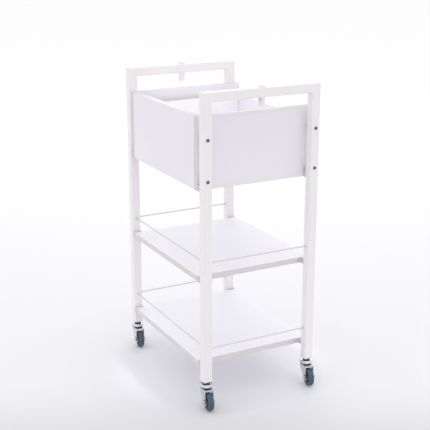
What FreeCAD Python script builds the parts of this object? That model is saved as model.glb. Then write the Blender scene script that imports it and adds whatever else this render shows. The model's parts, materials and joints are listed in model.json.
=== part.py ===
import FreeCAD, Part
import math
import os
import Sketcher

# Rolling salon trolley: two end frames of square tube carry an open case with a drawer and two
# shelves, on four swivel casters. Millimetres. +Z is up and z = 0 is the floor. The drawer opens
# to -Y (front), "left" is -X. The origin is under the middle of the footprint box: the casters
# trail to -X, so the frame's own middle stands CENTRE_X to the right of it.

SIZES = {
    # overall
    "length": 490.0,
    "depth": 346.0,
    "rail_top": 863.5,
    # end frames
    "tube": 25.0,
    "tube_wall": 1.5,
    "tube_round": 2.5,
    # boards and the gap to the frames
    "board": 16.0,
    "board_gap": 12.0,
    "board_round": 0.8,
    "case_top": 799.5,
    "case_bottom": 605.5,
    "middle_shelf_top": 373.5,
    "lower_shelf_top": 130.5,
    # studs, blocks and plugs at the board ends
    "stud_size": 6.0,
    "stud_bite": 12.0,
    "stud_clear": 0.1,
    "cap_size": 8.5,
    "cap_depth": 6.0,
    "cap_rise": 0.8,
    "cap_beside": 8.0,
    # case screws
    "screw_size": 5.0,
    "screw_bite": 12.0,
    "screw_upper": 743.5,
    "screw_lower": 635.5,
    "screw_head": 9.0,
    "screw_head_rise": 3.0,
    "spacer_size": 11.0,
    # drawer
    "drawer_rim": 767.5,
    "drawer_back_gap": 14.0,
    "drawer_board": 12.0,
    "drawer_floor": 6.0,
    "drawer_clear": 8.0,
    "front_gap": 1.5,
    # drawer runners
    "runner_space": 12.5,
    "runner_short": 4.0,
    "runner_level": 693.5,
    "runner_height": 36.0,
    "runner_sheet": 1.5,
    "runner_flange": 9.0,
    "slider_height": 28.0,
    "slider_flange": 8.0,
    "glide": 2.2,
    # wire guards
    "wire": 4.0,
    "guard_rise": 40.0,
    "grommet_size": 7.0,
    "grommet_length": 4.0,
    # lamp sockets
    "socket_size": 18.0,
    "socket_bore": 13.0,
    "socket_rim": 23.0,
    "socket_rise": 3.0,
    "socket_drop": 24.0,
    "lock_thread": 4.0,
    "lock_head": 7.0,
    "lock_head_length": 3.5,
    "lock_level": 6.5,
    "lock_turn": 137.0,
    "lock_back": 0.4,
    "lock_stand": 1.0,
    # casters, stacked up from the floor
    "wheel_size": 50.0,
    "wheel_width": 15.5,
    "tyre_round": 5.0,
    "tyre_wall": 8.0,
    "hub_boss": 16.0,
    "hub_web": 7.0,
    "hub_rim": 3.0,
    "dust_cap": 20.0,
    "dust_cap_sheet": 1.0,
    "dust_cap_clear": 0.5,
    "axle_size": 6.0,
    "axle_head": 10.0,
    "axle_head_length": 4.0,
    "axle_end": 0.5,
    "trail": 20.0,
    "fork_clear": 2.25,
    "fork_sheet": 2.0,
    "fork_front": 15.0,
    "fork_back": 22.0,
    "fork_round": 3.0,
    "eye_size": 8.0,
    "crown_gap": 5.5,
    "crown_sheet": 3.0,
    "neck_size": 24.0,
    "cup_size": 36.5,
    "cup_gap": 6.5,
    "cup_height": 6.0,
    "cup_round": 2.5,
    "kingpin": 10.0,
    "rivet_size": 15.0,
    "rivet_sheet": 1.2,
    "stem_size": 12.0,
    "stem_short": 2.0,
    "stem_bevel": 1.0,
    "nut_flats": 19.0,
    "nut_height": 6.5,
    "plug_flange": 1.5,
    "plug_length": 20.0,
    "plug_clear": 0.2,
    "seal_size": 31.0,
    "seal_bore": 27.0,
    "ball": 5.0,
    "ball_clear": 0.3,
    "ball_circle": 18.0,
    # clearances
    "running": 0.06,
    "swivel_gap": 0.4,
    # the way each caster trails at rest, in degrees from +X
    "left_front_turn": 171.0,
    "left_rear_turn": 173.0,
    "right_front_turn": 172.0,
    "right_rear_turn": 174.0,
}
ENDS = {"left": -1, "right": 1}
SIDES = {"front": -1, "rear": 1}
BALLS = 10
START_REACH = 10.0

# Places that several pieces share, as expressions on the sheet.
CENTRE_X = "((size.trail + size.wheel_size / 2 - size.tube / 2) / 2)"
BOARD_LENGTH = "(size.length - 2 * size.tube - 2 * size.board_gap)"
CASE_HEIGHT = "(size.case_top - size.case_bottom)"
CASE_INSIDE = f"({BOARD_LENGTH} - 2 * size.board)"
DRAWER_WIDTH = f"({CASE_INSIDE} - 2 * size.runner_space)"
DRAWER_BASE = "(size.case_bottom + size.board + size.drawer_clear)"
DRAWER_HEIGHT = f"(size.drawer_rim - {DRAWER_BASE} - size.drawer_floor)"
DRAWER_BACK_OF_FRONT = "(-size.depth / 2 + size.board)"
DRAWER_DEPTH = "(size.depth - 2 * size.board - size.drawer_back_gap)"
RUNNER_LENGTH = f"({DRAWER_DEPTH} - size.runner_short)"
CAP_SETBACK = "(size.tube + size.cap_beside)"
CROWN_TOP = "(size.wheel_size + size.crown_gap + size.crown_sheet)"
CUP_BOTTOM = f"({CROWN_TOP} + size.cup_gap)"
CUP_TOP = f"({CUP_BOTTOM} + size.cup_height)"
POST_FOOT = f"({CUP_TOP} + size.nut_height + size.plug_flange)"
POST_HEIGHT = f"(size.rail_top - {POST_FOOT})"
RAIL_BOTTOM = "(size.rail_top - size.tube)"
NECK_RISE = "(size.cup_gap - size.ball - size.ball_clear)"
HUB_SIZE = "(size.wheel_size - 2 * size.tyre_wall)"
FORK_INSIDE = "(size.wheel_width / 2 + size.dust_cap_sheet + size.fork_clear)"
FORK_WIDTH = f"(2 * {FORK_INSIDE} + 2 * size.fork_sheet)"

doc = FreeCAD.newDocument("salon_trolley")
sheet = doc.addObject("Spreadsheet::Sheet", "size")
for row, (name, value) in enumerate(SIZES.items(), start=1):
    sheet.set(f"A{row}", name)
    sheet.set(f"B{row}", str(value))
    sheet.setAlias(f"B{row}", name)
doc.recompute()

nodes = []


def side_of(sign, expression):
    """The expression taken to the minus or the plus side."""
    return f"{'-' if sign < 0 else '+'} ({expression})"


def post_x(end):
    return f"{CENTRE_X} {side_of(ENDS[end], '(size.length - size.tube) / 2')}"


def post_y(side):
    return f"0 {side_of(SIDES[side], '(size.depth - size.tube) / 2')}"


def place(item, x, y, z, turn=None, tilt=None):
    """Put an object at sheet-driven x, y, z, turned about Z by a sheet value or as tilt says."""
    if turn:
        item.Placement = FreeCAD.Placement(FreeCAD.Vector(), FreeCAD.Rotation(FreeCAD.Vector(0, 0, 1), 45))
        item.setExpression("Placement.Rotation.Angle", turn)
    elif tilt:
        item.Placement = FreeCAD.Placement(FreeCAD.Vector(), tilt)
    for axis, expression in zip("xyz", (x, y, z)):
        item.setExpression(f"Placement.Base.{axis}", expression)


def add_body(label, is_node=True):
    body = doc.addObject("PartDesign::Body", label)
    body.Label = label
    if is_node:
        nodes.append(body)
    return body


def add_feature(body, kind, name, **expressions):
    feature = body.newObject(f"PartDesign::{kind}", name)
    for prop, expression in expressions.items():
        feature.setExpression(prop, expression)
    return feature


def add_sketch(body, name, role):
    """A sketch on one of the body's own origin planes."""
    sketch = body.newObject("Sketcher::SketchObject", name)
    plane = next(item for item in body.Origin.OriginFeatures if item.Role == role)
    sketch.AttachmentSupport = [(plane, "")]
    sketch.MapMode = "FlatFace"
    return sketch


def draw_polygon(sketch, corners):
    """A closed outline whose corners are held at sheet-driven distances from the origin."""
    first = sketch.GeometryCount
    count = len(corners)
    start = []
    for i in range(count):
        turn = 2 * math.pi * i / count
        start.append(FreeCAD.Vector(START_REACH * math.cos(turn), START_REACH * math.sin(turn), 0))
    for i in range(count):
        sketch.addGeometry(Part.LineSegment(start[i], start[(i + 1) % count]), False)
    for i in range(count):
        sketch.addConstraint(Sketcher.Constraint("Coincident", first + i, 2, first + (i + 1) % count, 1))
    for i, (across, up) in enumerate(corners):
        for kind, expression, value in (("DistanceX", across, start[i].x), ("DistanceY", up, start[i].y)):
            held = sketch.addConstraint(Sketcher.Constraint(kind, -1, 1, first + i, 1, value))
            sketch.setExpression(f"Constraints[{held}]", expression)


def draw_square(sketch, half):
    draw_polygon(sketch, [(f"-{half}", f"-{half}"), (half, f"-{half}"), (half, half), (f"-{half}", half)])


def draw_circle(sketch, diameter):
    start = Part.Circle(FreeCAD.Vector(), FreeCAD.Vector(0, 0, 1), START_REACH / 2)
    index = sketch.addGeometry(start, False)
    sketch.addConstraint(Sketcher.Constraint("Coincident", index, 3, -1, 1))
    held = sketch.addConstraint(Sketcher.Constraint("Diameter", index, START_REACH))
    sketch.setExpression(f"Constraints[{held}]", diameter)


def draw_hexagon(sketch, flats):
    """A hexagon of the given width across flats, two of them facing along the sketch's X."""
    corner = f"({flats}) / sqrt(3)"
    draw_polygon(sketch, [
        (f"({flats}) / 2", f"{corner} / 2"), ("0", corner), (f"-({flats}) / 2", f"{corner} / 2"),
        (f"-({flats}) / 2", f"-{corner} / 2"), ("0", f"-{corner}"), (f"({flats}) / 2", f"-{corner} / 2"),
    ])


def pad(body, sketch, length, centred=False):
    feature = add_feature(body, "Pad", sketch.Name + "_pad", Length=length)
    feature.Profile = sketch
    feature.Midplane = centred
    return feature


def cut_through(body, sketch):
    """A pocket right through the body, both ways from the sketch's plane."""
    feature = add_feature(body, "Pocket", sketch.Name + "_cut")
    feature.Profile = sketch
    feature.Type = "ThroughAll"
    feature.Midplane = True
    return feature


def drill(body, diameter, depth, x, y, z, towards):
    """A round hole from x, y, z in the body's frame, going towards a direction."""
    hole = add_feature(body, "SubtractiveCylinder", "hole", Radius=f"({diameter}) / 2", Height=depth)
    place(hole, x, y, z, tilt=FreeCAD.Rotation(FreeCAD.Vector(0, 0, 1), FreeCAD.Vector(*towards)))
    return hole


def round_edges(body, radius, wanted=None):
    """Fillet the tip's edges for which wanted is true, or all of them."""
    doc.recompute()
    base = body.Tip
    edges = enumerate(base.Shape.Edges, start=1)
    names = [f"Edge{i}" for i, edge in edges if wanted is None or wanted(edge)]
    if not names:
        raise RuntimeError(f"{body.Label}: no edge to round")
    fillet = add_feature(body, "Fillet", "rounding", Radius=radius)
    fillet.Base = (base, names)
    return fillet


def along(edge, axis):
    """True for a straight edge parallel to a coordinate axis."""
    if edge.Curve.TypeId != "Part::GeomLine":
        return False
    return abs(getattr(edge.tangentAt(edge.FirstParameter), axis)) > 0.999


def turned(label, profile, is_node=True, axis="Z"):
    """A body of revolution about its own Z or Y axis; profile is (radius, height) expressions."""
    body = add_body(label, is_node)
    sketch = add_sketch(body, "profile", "XZ_Plane" if axis == "Z" else "XY_Plane")
    draw_polygon(sketch, profile)
    spin = add_feature(body, "Revolution", "spin")
    spin.Profile = sketch
    spin.ReferenceAxis = (sketch, ["V_Axis"])
    spin.Angle = 360
    return body


def block(label, sizes, corner, rounding="size.board_round", is_node=True):
    """A board or block with its low corner at corner and all edges softened."""
    body = add_body(label, is_node)
    add_feature(body, "AdditiveBox", "box", Length=sizes[0], Width=sizes[1], Height=sizes[2])
    if rounding:
        round_edges(body, rounding)
    place(body, *corner)
    return body


def rod(label, diameter, length, start, towards, is_node=True):
    """A plain round rod from start towards a direction."""
    item = doc.addObject("Part::Cylinder", label)
    item.Label = label
    item.setExpression("Radius", f"({diameter}) / 2")
    item.setExpression("Height", length)
    place(item, *start, tilt=FreeCAD.Rotation(FreeCAD.Vector(0, 0, 1), FreeCAD.Vector(*towards)))
    if is_node:
        nodes.append(item)
    return item


def group(label, members):
    """Like pieces, each its own solid, that share one node."""
    item = doc.addObject("Part::Compound", label)
    item.Label = label
    item.Links = members
    nodes.append(item)


# ---------------------------------------------------------------- end frames

def make_post(end, side):
    """Square tube from the foot to the rail's top, mitred to meet the handle rail."""
    body = add_body(f"{end}_{side}_post")
    section = add_sketch(body, "section", "XY_Plane")
    outer, inner = "(size.tube / 2)", "(size.tube / 2 - size.tube_wall)"
    for half in (outer, inner):
        draw_square(section, half)
    pad(body, section, POST_HEIGHT)
    reach = SIZES["tube"] / 2
    round_edges(body, "size.tube_round",
                lambda edge: along(edge, "z") and abs(abs(edge.Vertexes[0].X) - reach) < 0.01)
    mitre = add_sketch(body, "mitre", "YZ_Plane")
    draw_polygon(mitre, [
        (f"-{outer}", POST_HEIGHT), (outer, f"{POST_HEIGHT} - size.tube"), (outer, POST_HEIGHT)])
    cut_through(body, mitre)
    for level in ("size.screw_upper", "size.screw_lower"):
        drill(body, "size.screw_size + 2 * size.stud_clear", "size.tube + 2",
              "-size.tube / 2 - 1", "0", f"{level} - {POST_FOOT}", (1, 0, 0))
    half_turn = FreeCAD.Rotation(FreeCAD.Vector(0, 0, 1), 180 if side == "rear" else 0)
    place(body, post_x(end), post_y(side), POST_FOOT, tilt=half_turn)


def make_handle_rail(end):
    """Square tube between the two mitres, bored in the middle for the lamp socket."""
    body = add_body(f"{end}_handle_rail")
    section = add_sketch(body, "section", "XZ_Plane")
    outer, inner = "(size.tube / 2)", "(size.tube / 2 - size.tube_wall)"
    for half in (outer, inner):
        draw_square(section, half)
    pad(body, section, "size.depth", centred=True)
    reach = SIZES["tube"] / 2
    round_edges(body, "size.tube_round",
                lambda edge: along(edge, "y") and abs(abs(edge.Vertexes[0].X) - reach) < 0.01)
    for name, sign in (("front_mitre", "-"), ("rear_mitre", "")):
        mitre = add_sketch(body, name, "YZ_Plane")
        draw_polygon(mitre, [
            (f"{sign}(size.depth / 2)", outer), (f"{sign}(size.depth / 2)", f"-{outer}"),
            (f"{sign}(size.depth / 2 - size.tube)", f"-{outer}")])
        cut_through(body, mitre)
    drill(body, "size.socket_size + 2 * size.running", "size.tube + 2",
          "0", "0", "-size.tube / 2 - 1", (0, 0, 1))
    place(body, post_x(end), "0", "size.rail_top - size.tube / 2")


def make_lamp_socket(end):
    """A tube through the handle rail with a rim on top; a lamp's pin drops into its bore."""
    bore, wall, rim = "size.socket_bore / 2", "size.socket_size / 2", "size.socket_rim / 2"
    foot = "-size.tube - size.socket_drop"
    body = turned(f"{end}_lamp_socket", [
        (bore, foot), (wall, foot), (wall, "0"), (rim, "0"), (rim, "size.socket_rise"),
        (bore, "size.socket_rise")])
    level = "-size.tube - size.lock_level"
    drill(body, "size.lock_thread + 2 * size.running", "size.socket_size", "0", "0", level,
          (math.cos(lock_angle(end)), math.sin(lock_angle(end)), 0))
    place(body, post_x(end), "0", "size.rail_top")


def lock_angle(end):
    """Where a lock screw points, outwards: the right end frame is the left one turned about."""
    angle = math.radians(SIZES["lock_turn"])
    return angle if end == "left" else math.pi + angle


def make_lock_screw(end):
    """Brass screw in the socket's wall that clamps the lamp's pin."""
    inside, outside = "size.socket_bore / 2 + size.lock_back", "size.socket_size / 2 + size.lock_stand"
    body = turned(f"{end}_lock_screw", [
        ("0", inside), ("size.lock_thread / 2", inside), ("size.lock_thread / 2", outside),
        ("size.lock_head / 2", outside), ("size.lock_head / 2", f"{outside} + size.lock_head_length"),
        ("0", f"{outside} + size.lock_head_length")], is_node=False)
    out = FreeCAD.Vector(math.cos(lock_angle(end)), math.sin(lock_angle(end)), 0)
    place(body, post_x(end), "0", f"{RAIL_BOTTOM} - size.lock_level",
          tilt=FreeCAD.Rotation(FreeCAD.Vector(0, 0, 1), out))
    return body


for end in ENDS:
    for side in SIDES:
        make_post(end, side)
    make_handle_rail(end)
    make_lamp_socket(end)
group("lock_screws", [make_lock_screw(end) for end in ENDS])


# ---------------------------------------------------------------- case, shelves and their fixings

def board_end_x(end):
    """The outer end face of the case and of the shelves."""
    return f"{CENTRE_X} {side_of(ENDS[end], f'{BOARD_LENGTH} / 2')}"


def make_case():
    for end, sign in ENDS.items():
        low = board_end_x("left") if end == "left" else f"{board_end_x('right')} - size.board"
        panel = block(f"case_{end}_panel", ("size.board", "size.depth", CASE_HEIGHT),
                      (low, "-size.depth / 2", "size.case_bottom"))
        face = "-1" if end == "left" else "size.board + 1"
        for across in ("size.tube / 2", "size.depth - size.tube / 2"):
            for level in ("size.screw_upper", "size.screw_lower"):
                drill(panel, "size.screw_size", "size.screw_bite + 1",
                      face, across, f"{level} - size.case_bottom", (-sign, 0, 0))
            drill(panel, "size.stud_size + 2 * size.stud_clear", "size.stud_bite + 1",
                  face, across, "size.board / 2", (-sign, 0, 0))
    inside_low = f"{board_end_x('left')} + size.board"
    block("case_back_panel", (CASE_INSIDE, "size.board", CASE_HEIGHT),
          (inside_low, "size.depth / 2 - size.board", "size.case_bottom"))
    block("case_bottom_panel",
          (CASE_INSIDE, "size.depth - 2 * size.board - size.front_gap", "size.board"),
          (inside_low, f"{DRAWER_BACK_OF_FRONT} + size.front_gap", "size.case_bottom"))


def make_shelf(label, top):
    shelf = block(label, (BOARD_LENGTH, "size.depth", "size.board"),
                  (board_end_x("left"), "-size.depth / 2", f"{top} - size.board"))
    for end, sign in ENDS.items():
        face = "-1" if end == "left" else f"{BOARD_LENGTH} + 1"
        for across in ("size.tube / 2", "size.depth - size.tube / 2"):
            drill(shelf, "size.stud_size + 2 * size.stud_clear", "size.stud_bite + 1",
                  face, across, "size.board / 2", (-sign, 0, 0))
        for across in (CAP_SETBACK, f"size.depth - {CAP_SETBACK}"):
            drill(shelf, "size.cap_size", "size.cap_depth + 1",
                  face, across, "size.board / 2", (-sign, 0, 0))


def make_shelf_caps(top, name):
    """Round plugs that close the bores in the shelf's end faces."""
    caps = []
    for end, sign in ENDS.items():
        for side, way in SIDES.items():
            start = f"{board_end_x(end)} {side_of(sign, 'size.cap_rise')}"
            across = f"0 {side_of(way, f'size.depth / 2 - {CAP_SETBACK}')}"
            caps.append(rod(f"{name}_{end}_{side}_cap", "size.cap_size", "size.cap_depth + size.cap_rise",
                            (start, across, f"{top} - size.board / 2"), (-sign, 0, 0), is_node=False))
    return caps


def make_corner_block(name, end, side, bottom):
    """Spacer block between a post and a board's end, as wide as the tube."""
    low_x = board_end_x(end) + (" - size.board_gap" if end == "left" else "")
    low_y = "-size.depth / 2" if side == "front" else "size.depth / 2 - size.tube"
    spacer = block(f"{name}_{end}_{side}_block", ("size.board_gap", "size.tube", "size.board"),
                   (low_x, low_y, bottom), is_node=False)
    drill(spacer, "size.stud_size + 2 * size.stud_clear", "size.board_gap + 2",
          "-1", "size.tube / 2", "size.board / 2", (1, 0, 0))
    return spacer


def make_stud(name, end, side, bottom):
    """Steel stud welded on the post, through the block and into the board."""
    sign = ENDS[end]
    start = f"{board_end_x(end)} {side_of(sign, 'size.board_gap')}"
    return rod(f"{name}_{end}_{side}_stud", "size.stud_size", "size.board_gap + size.stud_bite",
               (start, post_y(side), f"{bottom} + size.board / 2"), (-sign, 0, 0), is_node=False)


def make_case_screw(end, side, level):
    """Dome-headed screw through the post and its spacer into the case's end panel."""
    shank = "size.tube + size.board_gap + size.screw_bite"
    head = "size.screw_head / 2"
    body = turned(f"{end}_{side}_{level}_screw", [
        ("0", "size.screw_head_rise"), (f"{head} * 0.62", "size.screw_head_rise * 0.86"),
        (f"{head} * 0.92", "size.screw_head_rise * 0.48"), (head, "0"), ("size.screw_size / 2", "0"),
        ("size.screw_size / 2", f"-({shank}) + size.screw_size"), ("0", f"-({shank})")], is_node=False)
    sign = ENDS[end]
    place(body, f"{CENTRE_X} {side_of(sign, 'size.length / 2')}", post_y(side), f"size.screw_{level}",
          tilt=FreeCAD.Rotation(FreeCAD.Vector(0, 0, 1), FreeCAD.Vector(sign, 0, 0)))
    return body


def make_ring(label, outer, inner, length, start, towards):
    """A plain ring or sleeve from start towards a direction."""
    body = add_body(label, is_node=False)
    section = add_sketch(body, "section", "XY_Plane")
    draw_circle(section, outer)
    draw_circle(section, inner)
    pad(body, section, length)
    place(body, *start, tilt=FreeCAD.Rotation(FreeCAD.Vector(0, 0, 1), FreeCAD.Vector(*towards)))
    return body


def make_case_spacer(end, side, level):
    """Ring round a case screw, between the post and the end panel."""
    start = f"{board_end_x(end)} {side_of(ENDS[end], 'size.board_gap')}"
    return make_ring(f"{end}_{side}_{level}_spacer", "size.spacer_size",
                     "size.screw_size + 2 * size.stud_clear", "size.board_gap",
                     (start, post_y(side), f"size.screw_{level}"), (-ENDS[end], 0, 0))


make_case()
LEVELS = {"middle": "size.middle_shelf_top", "lower": "size.lower_shelf_top"}
for name, top in LEVELS.items():
    make_shelf(f"{name}_shelf", top)
group("shelf_caps", [cap for name, top in LEVELS.items() for cap in make_shelf_caps(top, name)])

bottoms = {"case": "size.case_bottom"} | {name: f"{top} - size.board" for name, top in LEVELS.items()}
corners = [(end, side) for end in ENDS for side in SIDES]
group("corner_blocks", [
    make_corner_block(name, *corner, bottom) for name, bottom in bottoms.items() for corner in corners])
group("board_studs", [
    make_stud(name, *corner, bottom) for name, bottom in bottoms.items() for corner in corners])
SCREW_LEVELS = ("upper", "lower")
group("case_screws", [make_case_screw(*corner, level) for corner in corners for level in SCREW_LEVELS])
group("case_spacers", [make_case_spacer(*corner, level) for corner in corners for level in SCREW_LEVELS])


# ---------------------------------------------------------------- wire guards above the shelves

def guard_level(name):
    return f"{LEVELS[name]} + size.guard_rise"


def make_rear_guard(name):
    start = (f"{post_x('left')} + size.tube / 2", post_y("rear"), guard_level(name))
    return rod(f"{name}_rear_guard", "size.wire", "size.length - 2 * size.tube", start, (1, 0, 0),
               is_node=False)


def make_end_guard(name, end):
    start = (post_x(end), "-size.depth / 2 + size.tube", guard_level(name))
    return rod(f"{name}_{end}_guard", "size.wire", "size.depth - 2 * size.tube", start, (0, 1, 0),
               is_node=False)


def make_grommets(name):
    """A grommet round each end of each wire."""
    level = guard_level(name)
    rings = []
    for end, sign in ENDS.items():
        rings.append(make_ring(f"{name}_{end}_rear_wire_grommet", "size.grommet_size", "size.wire",
                               "size.grommet_length",
                               (f"{post_x(end)} {side_of(-sign, 'size.tube / 2')}", post_y("rear"), level),
                               (-sign, 0, 0)))
        for side, way in SIDES.items():
            rings.append(make_ring(f"{name}_{end}_{side}_grommet", "size.grommet_size", "size.wire",
                                   "size.grommet_length",
                                   (post_x(end), f"{post_y(side)} {side_of(-way, 'size.tube / 2')}", level),
                                   (0, -way, 0)))
    return rings


# The front of each shelf stays open.
group("rear_guards", [make_rear_guard(name) for name in LEVELS])
group("end_guards", [make_end_guard(name, end) for name in LEVELS for end in ENDS])
group("guard_grommets", [ring for name in LEVELS for ring in make_grommets(name)])


# ---------------------------------------------------------------- drawer and its runners

def make_drawer():
    inside_low = f"{CENTRE_X} - {CASE_INSIDE} / 2"
    box_low = f"{CENTRE_X} - {DRAWER_WIDTH} / 2"
    wall_base = f"{DRAWER_BASE} + size.drawer_floor"
    block("drawer_front",
          (f"{CASE_INSIDE} - 2 * size.front_gap", "size.board",
           "size.drawer_rim - size.case_bottom - size.front_gap"),
          (f"{inside_low} + size.front_gap", "-size.depth / 2", "size.case_bottom + size.front_gap"))
    for end in ENDS:
        low = box_low if end == "left" else f"{box_low} + {DRAWER_WIDTH} - size.drawer_board"
        block(f"drawer_{end}_side", ("size.drawer_board", DRAWER_DEPTH, DRAWER_HEIGHT),
              (low, DRAWER_BACK_OF_FRONT, wall_base))
    block("drawer_back",
          (f"{DRAWER_WIDTH} - 2 * size.drawer_board", "size.drawer_board", DRAWER_HEIGHT),
          (f"{box_low} + size.drawer_board",
           f"{DRAWER_BACK_OF_FRONT} + {DRAWER_DEPTH} - size.drawer_board", wall_base))
    block("drawer_bottom", (DRAWER_WIDTH, DRAWER_DEPTH, "size.drawer_floor"),
          (box_low, DRAWER_BACK_OF_FRONT, DRAWER_BASE))


def make_channel(label, height, flange, length, x, y, z, tilt):
    """A C-shaped runner member with its web at local x = 0 and flanges towards +x."""
    body = add_body(label, is_node=False)
    section = add_sketch(body, "section", "XZ_Plane")
    half, sheet_edge = f"({height}) / 2", f"(({height}) / 2 - size.runner_sheet)"
    draw_polygon(section, [
        ("0", f"-{half}"), (flange, f"-{half}"), (flange, f"-{sheet_edge}"),
        ("size.runner_sheet", f"-{sheet_edge}"), ("size.runner_sheet", sheet_edge),
        (flange, sheet_edge), (flange, half), ("0", half)])
    pad(body, section, length, centred=True)
    place(body, x, y, z, tilt=tilt)
    return body


def make_runners():
    straight = FreeCAD.Rotation(FreeCAD.Vector(0, 0, 1), 0)
    about = FreeCAD.Rotation(FreeCAD.Vector(0, 0, 1), 180)
    middle_y = f"{DRAWER_BACK_OF_FRONT} + size.front_gap + {RUNNER_LENGTH} / 2"
    case_members, sliders, glides = [], [], []
    for end, sign in ENDS.items():
        wall = f"{CENTRE_X} {side_of(sign, f'{CASE_INSIDE} / 2')}"
        box = f"{CENTRE_X} {side_of(sign, f'{DRAWER_WIDTH} / 2')}"
        inwards, outwards = (straight, about) if end == "left" else (about, straight)
        case_members.append(make_channel(f"{end}_case_member", "size.runner_height", "size.runner_flange",
                                         RUNNER_LENGTH, wall, middle_y, "size.runner_level", inwards))
        sliders.append(make_channel(f"{end}_drawer_member", "size.slider_height", "size.slider_flange",
                                    RUNNER_LENGTH, box, middle_y, "size.runner_level", outwards))
        low_x = f"{box} - size.slider_flange" if end == "left" else f"{box} + size.runner_flange / 2"
        for way in (-1, 1):
            level = f"size.runner_level {side_of(way, 'size.slider_height / 2')}"
            low_z = level if way > 0 else f"{level} - size.glide"
            glides.append(block(f"{end}_{'upper' if way > 0 else 'lower'}_glide",
                                ("size.slider_flange - size.runner_flange / 2", RUNNER_LENGTH,
                                 "size.glide"),
                                (low_x, f"{middle_y} - {RUNNER_LENGTH} / 2", low_z),
                                rounding=None, is_node=False))
    group("case_runners", case_members)
    group("drawer_runners", sliders)
    group("drawer_glides", glides)


make_drawer()
make_runners()


# ---------------------------------------------------------------- casters

def caster_turn(end, side):
    return f"size.{end}_{side}_turn"


def make_plug(end, side):
    """Plug in the post's open foot, with a flange under the tube and a bore for the stem."""
    body = add_body(f"{end}_{side}_plug", is_node=False)
    add_feature(body, "AdditiveBox", "flange",
                Length="size.tube", Width="size.tube", Height="size.plug_flange")
    round_edges(body, "size.tube_round", lambda edge: along(edge, "z"))
    inner = "(size.tube - 2 * size.tube_wall - 2 * size.plug_clear)"
    spigot = add_feature(body, "AdditiveBox", "spigot", Length=inner, Width=inner,
                         Height="size.plug_length + size.plug_flange")
    place(spigot, "size.tube_wall + size.plug_clear", "size.tube_wall + size.plug_clear", "0")
    drill(body, "size.stem_size + 2 * size.running", "size.plug_length + size.plug_flange + 2",
          "size.tube / 2", "size.tube / 2", "-1", (0, 0, 1))
    place(body, f"{post_x(end)} - size.tube / 2", f"{post_y(side)} - size.tube / 2",
          f"{POST_FOOT} - size.plug_flange")
    return body


def make_nut(end, side):
    body = add_body(f"{end}_{side}_nut", is_node=False)
    section = add_sketch(body, "section", "XY_Plane")
    draw_hexagon(section, "size.nut_flats")
    draw_circle(section, "size.stem_size + 2 * size.running")
    pad(body, section, "size.nut_height")
    place(body, post_x(end), post_y(side), CUP_TOP)
    return body


def make_head(end, side):
    """Threaded stem, swivel cup and kingpin, which stay still while the fork turns round them."""
    stem_top = f"{POST_FOOT} + size.plug_length - size.stem_short"
    stem, cup = "size.stem_size / 2", "size.cup_size / 2"
    pin, rivet = "size.kingpin / 2", "size.rivet_size / 2"
    under = f"{CROWN_TOP} - size.crown_sheet - size.swivel_gap"
    body = turned(f"{end}_{side}_caster_head", [
        ("0", stem_top), (f"{stem} - size.stem_bevel", stem_top),
        (stem, f"{stem_top} - size.stem_bevel"), (stem, CUP_TOP),
        (f"{cup} - size.cup_round", CUP_TOP), (cup, f"{CUP_TOP} - size.cup_round"),
        (cup, f"{CUP_BOTTOM} + size.cup_round / 2"), (f"{cup} - size.cup_round / 2", CUP_BOTTOM),
        (pin, CUP_BOTTOM), (pin, under), (rivet, under), (rivet, f"{under} - size.rivet_sheet"),
        ("0", f"{under} - size.rivet_sheet")])
    place(body, post_x(end), post_y(side), "0")


def make_seal(end, side):
    """Black ring round the ball race."""
    return make_ring(f"{end}_{side}_seal", "size.seal_size", "size.seal_bore",
                     f"{CUP_BOTTOM} - {CROWN_TOP} - size.swivel_gap",
                     (post_x(end), post_y(side), f"{CROWN_TOP} + size.swivel_gap"), (0, 0, 1))


def make_ball_ring(end, side):
    """The balls of one race, as separate solids."""
    balls = []
    for i in range(BALLS):
        ball = doc.addObject("Part::Sphere", f"{end}_{side}_ball_{i + 1}")
        ball.Label = ball.Name
        ball.setExpression("Radius", "size.ball / 2")
        angle = f"{i} * 360 / {BALLS}"
        place(ball, f"{post_x(end)} + size.ball_circle / 2 * cos({angle})",
              f"{post_y(side)} + size.ball_circle / 2 * sin({angle})",
              f"{CUP_BOTTOM} - size.ball / 2")
        balls.append(ball)
    return balls


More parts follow.
